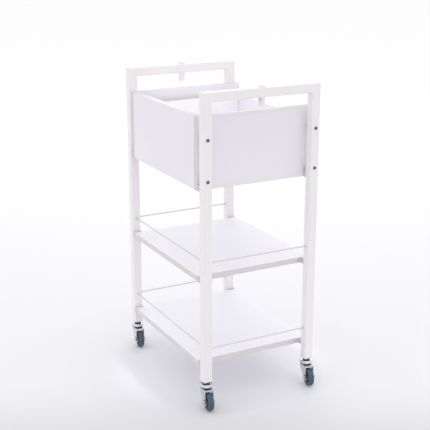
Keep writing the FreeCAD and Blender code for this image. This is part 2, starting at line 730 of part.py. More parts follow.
def make_fork(end, side):
    """Bent-sheet fork: a crown under the cup and two legs swept back to the axle."""
    body = add_body(f"{end}_{side}_caster_fork")
    profile = add_sketch(body, "profile", "XZ_Plane")
    axle_z, eye = "size.wheel_size / 2", "size.eye_size"
    draw_polygon(profile, [
        ("-size.fork_front", CROWN_TOP), ("-size.fork_front", f"{CROWN_TOP} - 3 * size.crown_sheet"),
        (f"size.trail - {eye}", f"{axle_z} - {eye} * 0.4"),
        (f"size.trail - {eye} * 0.4", f"{axle_z} - {eye}"),
        (f"size.trail + {eye}", f"{axle_z} - {eye}"), (f"size.trail + {eye}", axle_z),
        ("size.fork_back", f"{CROWN_TOP} - size.crown_sheet"), ("size.fork_back", CROWN_TOP)])
    pad(body, profile, FORK_WIDTH, centred=True)
    round_edges(body, "size.fork_round",
                lambda edge: along(edge, "x") and body.Tip.Shape.BoundBox.ZMax - edge.Vertexes[0].Z < 0.01)
    channel = add_sketch(body, "channel", "YZ_Plane")
    roof = f"{CROWN_TOP} - size.crown_sheet"
    draw_polygon(channel, [
        (f"-{FORK_INSIDE}", "0"), (FORK_INSIDE, "0"), (FORK_INSIDE, roof), (f"-{FORK_INSIDE}", roof)])
    cut_through(body, channel)
    neck = add_feature(body, "AdditiveCylinder", "neck", Radius="size.neck_size / 2",
                       Height=f"size.crown_sheet / 2 + {NECK_RISE}")
    place(neck, "0", "0", f"{CROWN_TOP} - size.crown_sheet / 2")
    drill(body, "size.kingpin + 2 * size.running", CROWN_TOP, "0", "0", f"{CROWN_TOP} / 2", (0, 0, 1))
    drill(body, "size.axle_size", f"{FORK_WIDTH} + 2",
          "size.trail", f"-{FORK_WIDTH} / 2 - 1", axle_z, (0, 1, 0))
    place(body, post_x(end), post_y(side), "0", turn=caster_turn(end, side))


def wheel_place(end, side):
    """The wheel's centre: the trail away from the swivel axis, half a wheel above the floor."""
    turn = caster_turn(end, side)
    return (f"{post_x(end)} + size.trail * cos({turn})", f"{post_y(side)} + size.trail * sin({turn})",
            "size.wheel_size / 2")


def make_axle(end, side):
    """Hex-headed axle bolt and its nut."""
    body = add_body(f"{end}_{side}_axle_bolt", is_node=False)
    head = add_sketch(body, "head", "XZ_Plane")
    draw_hexagon(head, "size.axle_head")
    head.setExpression("AttachmentOffset.Base.z", f"{FORK_WIDTH} / 2")
    pad(body, head, "size.axle_head_length")
    shank = add_feature(body, "AdditiveCylinder", "shank", Radius="size.axle_size / 2",
                        Height=f"{FORK_WIDTH} + size.axle_head_length + size.axle_end")
    place(shank, "0", f"-{FORK_WIDTH} / 2", "0",
          tilt=FreeCAD.Rotation(FreeCAD.Vector(0, 0, 1), FreeCAD.Vector(0, 1, 0)))
    nut = add_body(f"{end}_{side}_axle_nut", is_node=False)
    outline = add_sketch(nut, "outline", "XZ_Plane")
    draw_hexagon(outline, "size.axle_head")
    draw_circle(outline, "size.axle_size")
    outline.setExpression("AttachmentOffset.Base.z", f"-{FORK_WIDTH} / 2 - size.axle_head_length")
    pad(nut, outline, "size.axle_head_length")
    for body_part in (body, nut):
        place(body_part, *wheel_place(end, side), turn=caster_turn(end, side))
    group(f"{end}_{side}_axle", [body, nut])


def make_wheel(end, side):
    """Rubber tyre on a plastic hub that turns on the axle, with a dust cap on each side."""
    half, tread, seat = "size.wheel_width / 2", "size.wheel_size / 2", f"{HUB_SIZE} / 2"
    soft = "size.tyre_round"
    tyre = turned(f"{end}_{side}_tyre", [
        (seat, f"-{half}"), (f"{tread} - {soft}", f"-{half}"),
        (f"{tread} - {soft} * 0.3", f"-{half} + {soft} * 0.3"),
        (tread, f"-{half} + {soft}"), (tread, f"{half} - {soft}"),
        (f"{tread} - {soft} * 0.3", f"{half} - {soft} * 0.3"), (f"{tread} - {soft}", half),
        (seat, half)], axis="Y")
    bore, boss = "size.axle_size / 2 + size.running", "size.hub_boss / 2"
    rim = f"{HUB_SIZE} / 2 - size.hub_rim"
    web = "size.hub_web / 2"
    hub = turned(f"{end}_{side}_hub", [
        (bore, f"-{half}"), (boss, f"-{half}"), (boss, f"-{web}"), (rim, f"-{web}"), (rim, f"-{half}"),
        (seat, f"-{half}"), (seat, half), (rim, half), (rim, web), (boss, web), (boss, half),
        (bore, half)], axis="Y")
    for body in (tyre, hub):
        place(body, *wheel_place(end, side), turn=caster_turn(end, side))
    caps = []
    for way in (-1, 1):
        inner, outer = (f"{side_of(way, half)}", f"{side_of(way, f'{half} + size.dust_cap_sheet')}")
        cap = turned(f"{end}_{side}_{'outer' if way > 0 else 'inner'}_dust_cap", [
            ("size.axle_size / 2 + size.dust_cap_clear", f"0 {inner}"), ("size.dust_cap / 2", f"0 {inner}"),
            ("size.dust_cap / 2", f"0 {outer}"),
            ("size.axle_size / 2 + size.dust_cap_clear", f"0 {outer}")], is_node=False, axis="Y")
        place(cap, *wheel_place(end, side), turn=caster_turn(end, side))
        caps.append(cap)
    group(f"{end}_{side}_dust_caps", caps)


group("post_plugs", [make_plug(*corner) for corner in corners])
group("caster_nuts", [make_nut(*corner) for corner in corners])
for corner in corners:
    make_head(*corner)
    make_fork(*corner)
    make_axle(*corner)
    make_wheel(*corner)
group("caster_seals", [make_seal(*corner) for corner in corners])
group("caster_balls", [ball for corner in corners for ball in make_ball_ring(*corner)])

# ---------------------------------------------------------------- checks and export

doc.recompute()
faults = [item.Name for item in doc.Objects if {"Invalid", "Error"} & set(item.State)]
for item in nodes:
    if item.Shape.isNull() or not item.Shape.isValid() or not item.Shape.Solids:
        faults.append(item.Label)
if faults:
    raise RuntimeError(f"failed objects: {faults}")

os.makedirs("parts", exist_ok=True)
for item in nodes:
    item.Shape.exportStep(f"parts/{item.Label}.step")
    print(f"{item.Label}: {len(item.Shape.Solids)} solid(s), {item.Shape.Volume / 1000:.2f} cm3")
print(len(nodes), "nodes")
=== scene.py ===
import json
import math
import random

import bmesh
import bpy
from bpy.props import FloatProperty, FloatVectorProperty, IntProperty, PointerProperty
from mathutils import Matrix, Vector


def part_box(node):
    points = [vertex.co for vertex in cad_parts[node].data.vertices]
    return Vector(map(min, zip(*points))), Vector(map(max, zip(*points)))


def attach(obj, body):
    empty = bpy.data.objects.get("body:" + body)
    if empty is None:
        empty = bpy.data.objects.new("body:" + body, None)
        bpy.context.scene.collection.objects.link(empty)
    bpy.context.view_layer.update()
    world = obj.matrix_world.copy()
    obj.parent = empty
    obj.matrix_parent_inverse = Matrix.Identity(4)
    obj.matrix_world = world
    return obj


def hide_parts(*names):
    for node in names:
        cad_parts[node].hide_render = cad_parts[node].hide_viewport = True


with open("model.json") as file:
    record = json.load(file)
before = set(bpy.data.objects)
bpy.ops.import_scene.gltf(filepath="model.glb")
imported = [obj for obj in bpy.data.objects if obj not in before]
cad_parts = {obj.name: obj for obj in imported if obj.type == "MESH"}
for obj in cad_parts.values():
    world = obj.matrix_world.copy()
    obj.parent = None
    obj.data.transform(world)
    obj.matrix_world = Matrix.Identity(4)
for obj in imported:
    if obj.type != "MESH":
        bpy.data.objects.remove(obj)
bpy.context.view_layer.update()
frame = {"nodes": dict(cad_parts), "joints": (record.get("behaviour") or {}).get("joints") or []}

bl_info = {
    "name": "Rolling Salon Trolley",
    "version": (1, 0, 0),
    "blender": (4, 5, 0),
    "location": "3D View > Sidebar > Trolley",
    "description": "Finishes and small detail for a rolling salon trolley around its CAD frame",
    "category": "Object",
}

MM = 0.001
ENDS = {"left": -1, "right": 1}
SIDES = {"front": -1, "rear": 1}
CORNERS = [f"{end}_{side}" for end in ENDS for side in SIDES]
ROOT = "trolley"
FULL_TURN = 2 * math.pi
CASE_BOARDS = ["case_left_panel", "case_right_panel", "case_back_panel", "case_bottom_panel", "drawer_front"]
SHELVES = ["middle_shelf", "lower_shelf"]
DRAWER_BOARDS = ["drawer_left_side", "drawer_right_side", "drawer_back", "drawer_bottom"]

# Measures of the CAD solids that no node's box gives. These are radii.
SCREW_SHANK = 2.5 * MM
CAP_RADIUS = 4.25 * MM
LOCK_THREAD = 2.0 * MM
HUB_BORE = 3.06 * MM
HUB_BOSS = 8.0 * MM
DUST_CAP_HOLE = 3.5 * MM
DUST_CAP_RIM = 10.0 * MM
AXLE_SHANK = 3.0 * MM
STEM = 6.0 * MM
STEM_NUT_BORE = 6.06 * MM
KINGPIN = 5.0 * MM
RIVET = 7.5 * MM
SEAL_OUTER = 15.5 * MM
SEAL_INNER = 13.5 * MM
# These are depths and thicknesses.
SCREW_REACH = 49.0 * MM
CAP_DEPTH = 6.0 * MM
GROMMET_DEPTH = 4.0 * MM
HUB_WALL = 3.0 * MM
HUB_HALF_WEB = 3.5 * MM
DUST_CAP_DEPTH = 1.0 * MM
AXLE_HEAD = 4.0 * MM
FORK_HALF_WIDTH = 13.0 * MM
RIVET_DEPTH = 1.2 * MM
# These are widths across flats.
AXLE_FLATS = 10.0 * MM
STEM_NUT_FLATS = 19.0 * MM
# These are a lock screw's inner end, the back of its head and its outer end, from the socket's axis.
LOCK_START = 6.9 * MM
LOCK_SEAT = 10.0 * MM
LOCK_REACH = 13.5 * MM


# ---------------------------------------------------------------- places read from the frame

def centre_of(node):
    low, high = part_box(node)
    return (low + high) / 2


def joint(name):
    return next(item for item in frame["joints"] if item["name"] == name)


def swivel_point(corner):
    return Vector(joint(f"{corner}_swivel_turn")["pos_m"])


def axle_matrix(corner):
    """Local Z along the axle, local X along the trail, origin at the wheel's centre."""
    spin = joint(f"{corner}_wheel_spin")
    hub, across = Vector(spin["pos_m"]), Vector(spin["axis"])
    along = (hub - swivel_point(corner)) * Vector((1, 1, 0))
    along.normalize()
    upright = Matrix((along, across, Vector((0, 0, 1)))).transposed().to_4x4()
    return Matrix.Translation(hub) @ upright @ Matrix.Rotation(-math.pi / 2, 4, "X")


def wheel_reach(corner, node):
    """How far a wheel's node reaches from its axle."""
    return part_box(f"{corner}_{node}")[1].z - axle_matrix(corner).translation.z


def wheel_half(corner):
    """Half a wheel's width, from how far its turned hub reaches along Y."""
    low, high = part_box(f"{corner}_hub")
    across = joint(f"{corner}_wheel_spin")["axis"]
    return ((high.y - low.y) / 2 - (high.z - low.z) / 2 * abs(across[0])) / abs(across[1])


def facing(point, direction, twist=0.0):
    """A matrix that stands a piece modelled along +Z at a point, looking in a direction."""
    turn = Vector((0, 0, 1)).rotation_difference(Vector(direction).normalized()).to_matrix().to_4x4()
    return Matrix.Translation(point) @ turn @ Matrix.Rotation(twist, 4, "Z")


# ---------------------------------------------------------------- settings

def colour(name, description, default):
    return FloatVectorProperty(name=name, description=description, default=default, subtype="COLOR",
                               size=3, min=0.0, max=1.0)


def length(name, description, default):
    return FloatProperty(name=name, description=description, default=default, unit="LENGTH", min=0.0)


def power(name, description, default):
    return FloatProperty(name=name, description=description, default=default, unit="POWER", min=0.0)


def brightness(name, description, default):
    return FloatProperty(name=name, description=description, default=default, min=0.0)


def fraction(name, description, default):
    return FloatProperty(name=name, description=description, default=default, min=0.0, max=1.0)


def count(name, description, default, least):
    return IntProperty(name=name, description=description, default=default, min=least)


class TrolleyColours(bpy.types.PropertyGroup):
    coat: colour("Frame coat", "Powder coat on the tubes, rails and sockets", (0.918, 0.894, 0.904))
    guard: colour("Guard coat", "Powder coat on the guard wires", (0.74, 0.72, 0.715))
    board: colour("Board", "Melamine on the case", (0.875, 0.852, 0.902))
    # Painted light: the shelves' melamine is paler than the case's board so the shaded shelf tops read
    # bright.
    shelf: colour("Shelf", "Melamine on the two shelves", (0.915, 0.907, 0.947))
    # The edge band colour is partly the bands' own darker tone and partly painted shade on the shaded board
    # edges.
    edge: colour("Edge band", "Edge bands of the shelves and the drawer box", (0.735, 0.705, 0.735))
    # Partly the case bands' own tone, partly painted shade that keeps the upward top edges from reading
    # bright under the top light.
    case_edge_and_shade: colour("Case edge", "Edge bands of the case's boards", (0.71, 0.665, 0.685))
    # Painted light: the drawer box's melamine is paler than the case's board so its shaded inside reads
    # bright.
    drawer: colour("Drawer board", "Melamine on the drawer box", (0.935, 0.925, 0.95))
    tyre: colour("Tyre", "Wheel rubber", (0.056, 0.103, 0.150))
    hub: colour("Hub", "Moulded wheel hub", (0.035, 0.024, 0.020))
    # The seal rings' black is partly their own and partly painted shade: the dark band of the shaded
    # ball-race gap under each cup.
    black: colour("Black plastic", "Seal rings of the swivels", (0.018, 0.018, 0.020))
    pale: colour("Pale plastic", "Blocks, spacers, grommets, foot plugs and shelf caps", (0.63, 0.61, 0.64))
    nylon: colour("Nylon", "Drawer glides", (0.70, 0.68, 0.62))
    bronze: colour("Screw bronze", "Case screws", (0.20, 0.150, 0.122))
    chrome: colour("Chrome", "Swivel cups and stems", (0.74, 0.75, 0.76))
    zinc: colour("Bright zinc", "Forks and axle bolts", (0.70, 0.71, 0.73))
    # Dark zinc is the stem nuts' own colour; on the axle washers it is painted shade, the dark ring round
    # each axle end.
    dark_zinc: colour("Dark zinc", "Stem nuts and axle washers", (0.10, 0.135, 0.145))
    steel: colour("Steel", "Runners, studs and balls", (0.56, 0.56, 0.57))
    brass: colour("Brass", "Lamp lock screws", (0.86, 0.81, 0.70))
    cap: colour("Dust cap", "Wheel dust caps", (0.36, 0.37, 0.39))


class TrolleySizes(bpy.types.PropertyGroup):
    tyre_shoulder: length("Tyre shoulder", "Rounding of the tread's two shoulders", 4.6 * MM)
    hub_ribs: count("Hub ribs", "Ribs on each side of a wheel hub", 6, least=3)
    screw_socket: length("Screw socket", "Width across the hexagon in a case screw", 3.4 * MM)
    knurls: count("Knurls", "Ridges round a lamp lock screw", 20, least=8)
    band: length("Edge band", "Distance from a board's edge to the line of its edge band", 0.9 * MM)


class StudioSettings(bpy.types.PropertyGroup):
    # The three floor colours paint light and shade onto the paper: white far off, painted shade round the
    # object, darker painted shade towards the front.
    floor: colour("Floor", "Floor well behind the object", (1.0, 1.0, 1.0))
    floor_painted_shade: colour("Floor here", "Floor under the object", (0.86, 0.855, 0.89))
    near_floor_painted_shade: colour("Near floor", "Floor at the sweep's open end", (0.70, 0.692, 0.722))
    sky: brightness("Sky", "Strength of the even light from all round", 1.10)
    zenith: fraction("Zenith", "Share of the even light's strength straight above", 0.82)
    gloss: brightness("Gloss", "Strength of the sky that glossy surfaces mirror", 1.25)
    horizon: fraction("Horizon", "Share of the mirrored sky's strength at the horizon", 0.22)
    top: power("Top light", "Power of the soft box above the object", 24.0)
    snoot: power("Drawer light", "Power of the narrow lamp above the case", 30.0)
    back: power("Back light", "Power of the soft box beyond the object", 12.0)
    lens: FloatProperty(name="Lens", description="Focal length of the view", default=81.27, unit="CAMERA")


def colours():
    return bpy.context.scene.trolley_colours


def sizes():
    return bpy.context.scene.trolley_sizes


# ---------------------------------------------------------------- finishes

class Value:
    """A number socket that can be used in Python expressions."""

    def __init__(self, finish, socket):
        self.finish, self.socket = finish, socket

    def work(self, operation, *others, first=None):
        terms = (self,) + others if first is None else (first, self) + others
        made = self.finish.node("ShaderNodeMath", {"operation": operation})
        for slot, term in zip(made.inputs, terms):
            self.finish.set_input(slot, term)
        return Value(self.finish, made.outputs[0])

    def __add__(self, other):
        return self.work("ADD", other)

    def __sub__(self, other):
        return self.work("SUBTRACT", other)

    def __rsub__(self, other):
        return self.work("SUBTRACT", first=other)

    def __mul__(self, other):
        return self.work("MULTIPLY", other)

    def __lt__(self, other):
        return self.work("LESS_THAN", other)

    def __gt__(self, other):
        return self.work("GREATER_THAN", other)

    def __abs__(self):
        return self.work("ABSOLUTE")

    def lower(self, other):
        return self.work("MINIMUM", other)

    def higher(self, other):
        return self.work("MAXIMUM", other)

    __radd__, __rmul__ = __add__, __mul__


class Nodes:
    """A node tree, the coordinates it reads and the one way to make a node in it."""

    def __init__(self, owner, coordinates):
        owner.use_nodes = True
        self.tree = owner.node_tree
        self.where = self.node("ShaderNodeTexCoord").outputs[coordinates]

    def node(self, kind, settings=None, sockets=None):
        made = self.tree.nodes.new(kind)
        for key, value in (settings or {}).items():
            setattr(made, key, value)
        for key, value in (sockets or {}).items():
            self.set_input(next(slot for slot in made.inputs if key in (slot.identifier, slot.name)), value)
        return made

    def set_input(self, slot, value):
        if isinstance(value, Value):
            value = value.socket
        if isinstance(value, bpy.types.NodeSocket):
            self.tree.links.new(value, slot)
        elif slot.type == "RGBA" and len(value) == 3:
            slot.default_value = (*value, 1.0)
        else:
            slot.default_value = value

    def axis(self, index):
        """One of the coordinates, 0 to 2 for X to Z."""
        made = self.node("ShaderNodeSeparateXYZ", sockets={"Vector": self.where})
        return Value(self, made.outputs[index])

    def smooth(self, value, low, high):
        """0 below low, 1 above high, smooth between."""
        made = self.node("ShaderNodeMapRange", {"interpolation_type": "SMOOTHSTEP"},
                         {"Value": value, "From Min": low, "From Max": high})
        return Value(self, made.outputs[0])


class Finish(Nodes):
    """A material in the making: its shader and its patterns."""

    def __init__(self, name, **constants):
        self.material = bpy.data.materials.new(name)
        super().__init__(self.material, "Object")
        self.shader = self.tree.nodes["Principled BSDF"]
        for key, value in constants.items():
            self.shader.inputs[key.replace("_", " ")].default_value = value

    def feed(self, **inputs):
        """Link or set the shader's sockets by name, with _ for each space."""
        for key, value in inputs.items():
            self.set_input(self.shader.inputs[key.replace("_", " ")], value)

    def noise(self, scale, detail=2.0, stretch=(1, 1, 1)):
        """Noise between 0 and 1, its grains 1 / scale metres across."""
        place = self.node("ShaderNodeMapping", sockets={"Vector": self.where, "Scale": stretch})
        made = self.node("ShaderNodeTexNoise", {"noise_dimensions": "3D"},
                         {"Vector": place.outputs[0], "Scale": scale, "Detail": detail})
        return Value(self, made.outputs[0])

    def mix(self, mask, low, high):
        """The low colour where the mask is 0 and the high colour where it is 1."""
        made = self.node("ShaderNodeMix", {"data_type": "RGBA"},
                         {"Factor_Float": mask, "A_Color": low, "B_Color": high})
        return next(slot for slot in made.outputs if slot.identifier == "Result_Color")

    def shades(self, pattern, base, darkest, palest):
        """A colour that follows a pattern between two shades of a base colour."""
        return self.mix(pattern, shade(base, darkest), shade(base, palest))

    def bump(self, height, distance, strength):
        made = self.node("ShaderNodeBump",
                         sockets={"Height": height, "Distance": distance, "Strength": strength})
        self.feed(Normal=made.outputs[0])


def shade(base, factor):
    """A colour made darker or paler, kept within what a surface can reflect."""
    return tuple(min(1.0, part * factor) for part in base)


def powder_coat(name, base):
    """Satin white powder coat: fine orange peel, a ground weld at each mitre, a trace of handling."""
    coat = Finish(name, IOR=1.48, Specular_IOR_Level=0.2)
    low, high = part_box("left_handle_rail")
    tube = high.z - low.z
    peel = coat.noise(620.0)
    side = abs(coat.axis(1))
    down = high.z - coat.axis(2)
    from_mitre = abs(down - (high.y - side))
    in_corner = (down < tube) * (side > high.y - tube)
    weld = (1 - coat.smooth(from_mitre, 0.5 * MM, 2.2 * MM)) * in_corner
    smudges = coat.smooth(coat.noise(38.0, 4.0), 0.5, 0.72)
    handled = coat.smooth(coat.axis(2), low.z - 20 * MM, low.z) * smudges
    tone = coat.shades(coat.noise(9.0, 3.0), base, 0.975, 1.02)
    coat.feed(Base_Color=coat.mix(handled * 0.35 + weld * 0.25, tone, shade(base, 0.94)),
              Roughness=0.33 + peel * 0.08 + handled * 0.08)
    coat.bump(peel * 0.35 + weld * (0.6 + coat.noise(900.0) * 0.5), 0.22 * MM, 0.5)
    return coat.material


def melamine(node, base, band):
    """White melamine board: pearled face, a fine line where each edge band meets the face."""
    low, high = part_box(node)
    spans = high - low
    thin, *flat = sorted(range(3), key=lambda index: spans[index])
    board = Finish(f"melamine_{node}", IOR=1.5)

    def from_edge(index):
        across = board.axis(index)
        return (across - low[index]).lower(high[index] - across)

    lines = [abs(from_edge(index) - sizes().band) < 0.12 * MM for index in flat]
    line = lines[0].higher(lines[1])
    banded = board.smooth(from_edge(thin), 0.25 * MM, 0.5 * MM)
    pearl = board.noise(820.0, 3.0)
    smear = board.smooth(board.noise(22.0, 4.0, stretch=(1.0, 1.0, 2.4)), 0.52, 0.75)
    face = board.shades(board.noise(5.0, 4.0), base, 0.975, 1.02)
    # Board edges take the band colour, which is partly the band's own tone and partly painted shade.
    edge = board.shades(board.noise(30.0, 3.0), band, 0.96, 1.03)
    tone = board.mix(banded, face, edge)
    board.feed(Base_Color=board.mix(line * 0.42, tone, shade(base, 0.62)),
               Roughness=0.40 + pearl * 0.07 + smear * 0.07)
    board.bump(pearl * 0.4 - line * 1.2, 0.12 * MM, 0.45)
    return board.material


def moulded(name, base, roughness, grain=1400.0, depth=0.10 * MM, fleck=0.0):
    """Moulded plastic or rubber: fine mould grain, slight clouding, a few pale scuffs."""
    skin = Finish(name, IOR=1.47)
    texture = skin.noise(grain, 3.0)
    scuff = skin.smooth(skin.noise(240.0, 5.0, stretch=(1.0, 1.0, 3.0)), 0.60, 0.74)
    tone = skin.shades(skin.noise(60.0, 4.0), base, 0.86, 1.14)
    pale = tuple(part + (0.5 - part) * (0.10 + fleck) for part in base)
    skin.feed(Base_Color=skin.mix(scuff * 0.5, tone, pale),
              Roughness=roughness + texture * 0.12 + scuff * 0.1)
    skin.bump(texture, depth, 0.5)
    return skin.material


def metal(name, base, roughness, stretch=(1.0, 1.0, 1.0), grain=900.0, stain=0.12, depth=0.03 * MM):
    """Metal with its own grain, faint stains and worn brighter specks."""
    plate = Finish(name, Metallic=1.0)
    lines = plate.noise(grain, 3.0, stretch)
    stains = plate.smooth(plate.noise(90.0, 4.0), 0.45, 0.75)
    tone = plate.shades(lines, base, 0.88, 1.08)
    plate.feed(Base_Color=plate.mix(stains * stain, tone, shade(base, 0.55)),
               Roughness=roughness + lines * 0.10 + stains * 0.08)
    plate.bump(lines, depth, 0.35)
    return plate.material


def rubbed_plating(name, base):
    """Dark plating, rubbed brighter in specks."""
    plate = Finish(name, Metallic=0.85)
    rub = plate.smooth(plate.noise(520.0, 4.0), 0.55, 0.72)
    plate.feed(Base_Color=plate.mix(rub * 0.5, base, shade(base, 3.2)),
               Roughness=0.30 + plate.noise(900.0) * 0.2)
    plate.bump(plate.noise(1500.0), 0.03 * MM, 0.4)
    return plate.material


# Each finish takes its base colour from the setting of the same name.
FINISHES = {
    "coat": (powder_coat, "powder_coat", {}),
    "guard": (powder_coat, "guard_coat", {}),
    "black": (moulded, "black_plastic", {"roughness": 0.46}),
    "pale": (moulded, "pale_plastic", {"roughness": 0.40}),
    "nylon": (moulded, "nylon", {"roughness": 0.45}),
    "tyre": (moulded, "tyre_rubber",
             {"roughness": 0.50, "grain": 1100.0, "depth": 0.14 * MM, "fleck": 0.12}),
    "hub": (moulded, "hub_moulding", {"roughness": 0.38}),
    "bronze": (rubbed_plating, "bronze_plating", {}),
    "chrome": (metal, "chrome_plate",
               {"roughness": 0.07, "grain": 300.0, "stain": 0.05, "depth": 0.01 * MM}),
    "zinc": (metal, "bright_zinc", {"roughness": 0.22, "grain": 700.0}),
    "dark_zinc": (metal, "dark_zinc", {"roughness": 0.30, "grain": 800.0, "stain": 0.3}),
    "steel": (metal, "drawn_steel", {"roughness": 0.26, "grain": 2200.0, "stretch": (1.0, 0.04, 1.0)}),
    "brass": (metal, "brass", {"roughness": 0.20, "grain": 900.0, "stain": 0.2}),
    "cap": (metal, "dust_cap_steel", {"roughness": 0.28, "grain": 1100.0, "stain": 0.25}),
}


def finish(key):
    """The finish of that name, made the first time it is asked for."""
    names = bpy.context.scene.get("trolley_finishes", {})
    if key in names:
        return bpy.data.materials[names[key]]
    maker, name, looks = FINISHES[key]
    made = maker(name, tuple(getattr(colours(), key)), **looks)
    bpy.context.scene["trolley_finishes"] = {**names, key: made.name}
    return made


def dress(nodes, material):
    """Give CAD nodes a finish, leaving their meshes alone."""
    for node in nodes:
        item = frame["nodes"][node]
        if not item.material_slots:
            item.data.materials.append(material)
        for slot in item.material_slots:
            slot.material = material


# ---------------------------------------------------------------- modelling

def merge(bm, other, matrix):
    """Add a copy of another bmesh at a place."""
    mesh = bpy.data.meshes.new("part")
    other.to_mesh(mesh)
    mesh.transform(matrix)
    bm.from_mesh(mesh)
    bpy.data.meshes.remove(mesh)


def soften(bm, width, segments=2, wanted=lambda edge: True, least=25.0):
    """Bevel the edges that are sharper than least degrees and that wanted picks."""
    sharp = [edge for edge in bm.edges if edge.is_manifold and wanted(edge)
             and edge.calc_face_angle(0.0) > math.radians(least)]
    if sharp and width > 0:
        bmesh.ops.bevel(bm, geom=sharp, offset=width, offset_type="OFFSET", affect="EDGES",
                        segments=segments, profile=0.5, material=-1, clamp_overlap=True)


def close(bm):
    """Merge a shape's doubled points and turn its faces outwards."""
    bmesh.ops.remove_doubles(bm, verts=bm.verts[:], dist=1e-6)
    bmesh.ops.recalc_face_normals(bm, faces=bm.faces[:])


def lathe(profile, steps=64, ring=False):
    """Turn a (radius, height) profile round Z. A ring's profile closes on itself."""
    bm = bmesh.new()
    points = [bm.verts.new((radius, 0, height)) for radius, height in profile]
    pairs = list(zip(points, points[1:])) + ([(points[-1], points[0])] if ring else [])
    edges = [bm.edges.new(pair) for pair in pairs]
    bmesh.ops.spin(bm, geom=points + edges, cent=(0, 0, 0), axis=(0, 0, 1), dvec=(0, 0, 0),
                   angle=FULL_TURN, steps=steps, use_merge=True, use_duplicate=False)
    close(bm)
    return bm


def corner_radius(flats):
    """From a hexagon's centre to its corners, given its width across flats."""
    return flats / math.sqrt(3)


def hexagon(flats, height, chamfer, hole=0.0):
    """A hexagonal bar from z = 0 upwards with its top and bottom corners turned off."""
    bm = bmesh.new()
    bmesh.ops.create_circle(bm, cap_ends=False, segments=6, radius=corner_radius(flats))
    outline = bm.edges[:]
    if hole:
        bore = bmesh.ops.create_circle(bm, cap_ends=False, segments=36, radius=hole)
        inner = list({edge for vert in bore["verts"] for edge in vert.link_edges})
        bmesh.ops.bridge_loops(bm, edges=outline + inner)
    else:
        bmesh.ops.contextual_create(bm, geom=outline)
    raised = bmesh.ops.extrude_face_region(bm, geom=bm.faces[:], use_keep_orig=True)
    top = [item for item in raised["geom"] if isinstance(item, bmesh.types.BMVert)]
    bmesh.ops.translate(bm, verts=top, vec=(0, 0, height))
    close(bm)
    reach = flats / 2 * 0.98
    soften(bm, chamfer, wanted=lambda edge: min(vert.co.xy.length for vert in edge.verts) > reach,
           least=40.0)
    return bm


def piece(name, bm, body, key, replaces=(), matrix=None, sharp=35.0):
    """Turn a bmesh into a finished object that rides on a body and stands for CAD nodes."""
    if matrix is not None:
        bmesh.ops.transform(bm, matrix=matrix, verts=bm.verts[:])
    mesh = bpy.data.meshes.new(name)
    bm.to_mesh(mesh)
    bm.free()
    mesh.polygons.foreach_set("use_smooth", [True] * len(mesh.polygons))
    mesh.set_sharp_from_angle(angle=math.radians(sharp))
    mesh.materials.append(finish(key))
    item = bpy.data.objects.new(name, mesh)
    bpy.context.scene.collection.objects.link(item)
    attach(item, body)
    if replaces:
        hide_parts(*replaces)
    return item


def softened_copy(name, node, body, key, width):
    """A CAD node's own shape with its sharp edges rolled over, standing for that node."""
    bm = bmesh.new()
    bm.from_mesh(frame["nodes"][node].data)
    bmesh.ops.remove_doubles(bm, verts=bm.verts[:], dist=2e-6)
    bmesh.ops.dissolve_limit(bm, angle_limit=math.radians(1.0), verts=bm.verts[:], edges=bm.edges[:])
    item = piece(name, bm, body, key, (node,), sharp=45.0)
    rolled = item.modifiers.new("rolled_edges", "BEVEL")
    rolled.width, rolled.segments = width, 2
    rolled.limit_method, rolled.angle_limit = "ANGLE", math.radians(30.0)
    return item


# ---------------------------------------------------------------- frame, boards and runners

class TROLLEY_OT_coat_frame(bpy.types.Operator):
    """Powder-coat the posts, the handle rails and the wire guards"""
    bl_idname = "trolley.coat_frame"
    bl_label = "Coat frame"

    def execute(self, context):
        dress([f"{corner}_post" for corner in CORNERS], finish("coat"))
        dress([f"{end}_handle_rail" for end in ENDS], finish("coat"))
        dress(["rear_guards", "end_guards"], finish("guard"))
        return {"FINISHED"}


class TROLLEY_OT_finish_boards(bpy.types.Operator):
    """Give every board its melamine and edge-band lines"""
    bl_idname = "trolley.finish_boards"
    bl_label = "Finish boards"

    def execute(self, context):
        paint = colours()
        # The band colours, and the paler shelf and drawer colours, carry painted shade and painted light.
        for nodes, base, band in ((CASE_BOARDS, paint.board, paint.case_edge_and_shade),
                                  (SHELVES, paint.shelf, paint.edge),
                                  (DRAWER_BOARDS, paint.drawer, paint.edge)):
            for node in nodes:
                dress([node], melamine(node, tuple(base), tuple(band)))
        return {"FINISHED"}


class TROLLEY_OT_finish_runners(bpy.types.Operator):
    """Finish the drawer runners, glides, studs, balls and foot plugs"""
    bl_idname = "trolley.finish_runners"
    bl_label = "Finish runners"

    def execute(self, context):
        dress(["case_runners", "drawer_runners", "board_studs", "caster_balls"], finish("steel"))
        dress(["drawer_glides"], finish("nylon"))
        dress(["post_plugs"], finish("pale"))
        return {"FINISHED"}


# ---------------------------------------------------------------- fixings

def socket_screw_head(head, rise, shank, reach, socket):
    """A domed head with a hexagon socket on a shank that goes down to -reach."""
    bm = lathe([(0.0, -reach), (shank * 0.55, -reach), (shank, -reach + shank), (shank, 0.0), (head, 0.0),
                (head * 0.985, rise * 0.22), (head * 0.90, rise * 0.55), (head * 0.74, rise * 0.84),
                (socket * 0.72, rise)], steps=36)
    rim = [edge for edge in bm.edges if edge.is_boundary]
    hexa = bmesh.ops.create_circle(bm, cap_ends=False, segments=6, radius=corner_radius(socket))
    bmesh.ops.translate(bm, verts=hexa["verts"], vec=(0, 0, rise * 0.97))
    key_edges = list({edge for vert in hexa["verts"] for edge in vert.link_edges})
    bmesh.ops.bridge_loops(bm, edges=rim + key_edges)
    wall = bmesh.ops.extrude_edge_only(bm, edges=key_edges)
    foot = [item for item in wall["geom"] if isinstance(item, bmesh.types.BMVert)]
    bmesh.ops.translate(bm, verts=foot, vec=(0, 0, -rise * 0.7))
    floor = [item for item in wall["geom"] if isinstance(item, bmesh.types.BMEdge)]
    bmesh.ops.contextual_create(bm, geom=floor)
    close(bm)
    return bm


